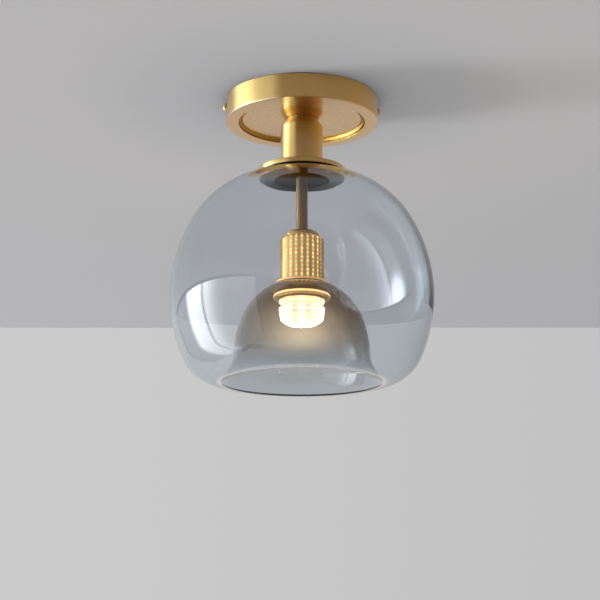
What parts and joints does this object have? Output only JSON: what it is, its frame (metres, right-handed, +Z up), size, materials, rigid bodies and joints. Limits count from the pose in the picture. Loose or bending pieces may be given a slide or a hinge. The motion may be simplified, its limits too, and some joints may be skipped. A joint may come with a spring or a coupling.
{
  "type": "flush mount ceiling light",
  "caption": "Flush mount ceiling light with a round brass canopy, a short stem and a smoke glass globe that folds inwards into a bell round a lit crystal lens.",
  "frame": {"origin": "centre of the bracket's upper face, which rests on the ceiling", "axes": "+Z up into the ceiling, +X along the bracket towards the right side screw, -Y towards the viewer of the picture"},
  "size_m": [0.2024, 0.2024, 0.2267],
  "materials": {
    "satin_brass": "fine brushed and lacquered",
    "plain_brass": "as turned",
    "zinc_steel": "zinc plated",
    "aluminium": "machined",
    "smoke_glass": "blown, smoke grey",
    "clear_crystal": "cut and polished, lit warm white",
    "black_rubber": "moulded",
    "clear_rubber": "moulded, translucent",
    "terminal_plastic": "moulded",
    "driver_plastic": "moulded",
    "lead_sheath": "extruded",
    "board_white": "white solder mask",
    "led_phosphor": "cast phosphor"
  },
  "bodies": {
    "fixture": {"mounting_bracket": "zinc_steel", "earth_screw": "plain_brass", "terminal_block": "terminal_plastic", "led_driver": "driver_plastic", "supply_lead": "lead_sheath", "lamp_lead": "lead_sheath", "canopy": "satin_brass", "canopy_locknut": "plain_brass", "lock_washer": "zinc_steel", "drop_rod": "satin_brass", "stem_barrel": "satin_brass", "shade_cap": "satin_brass", "cap_gasket": "black_rubber", "cup_cap": "satin_brass", "cup_locknut": "plain_brass", "lamp_cup": "satin_brass", "shade_carrier": "satin_brass", "heat_sink": "aluminium", "led_board": "board_white", "led_chips": "led_phosphor", "crystal_lens": "clear_crystal", "flange_gasket": "black_rubber"},
    "shade": {"glass_shade": "smoke_glass", "ring_gasket": "clear_rubber"},
    "ring": {"shade_ring": "satin_brass"},
    "screw_left": {"canopy_screw_left": "satin_brass"},
    "screw_right": {"canopy_screw_right": "satin_brass"}
  },
  "joints": [
    {"name": "shade_lower", "type": "slide", "parent": "fixture", "child": "shade", "axis": [0, 0, -1], "range_m": [0, 0.0045]},
    {"name": "ring_turn", "type": "hinge", "parent": "shade", "child": "ring", "pos_m": [0, 0, -0.158], "axis": [0, 0, -1], "range_deg": [0, 1080]},
    {"name": "screw_left_turn", "type": "hinge", "parent": "fixture", "child": "screw_left", "pos_m": [-0.06, 0, -0.0075], "axis": [-1, 0, 0], "continuous": true},
    {"name": "screw_right_turn", "type": "hinge", "parent": "fixture", "child": "screw_right", "pos_m": [0.06, 0, -0.0075], "axis": [1, 0, 0], "continuous": true}
  ],
  "couplings": [
    {"joint": "ring_turn", "follows": "shade_lower", "rad_per_m": 4188.8}
  ]
}
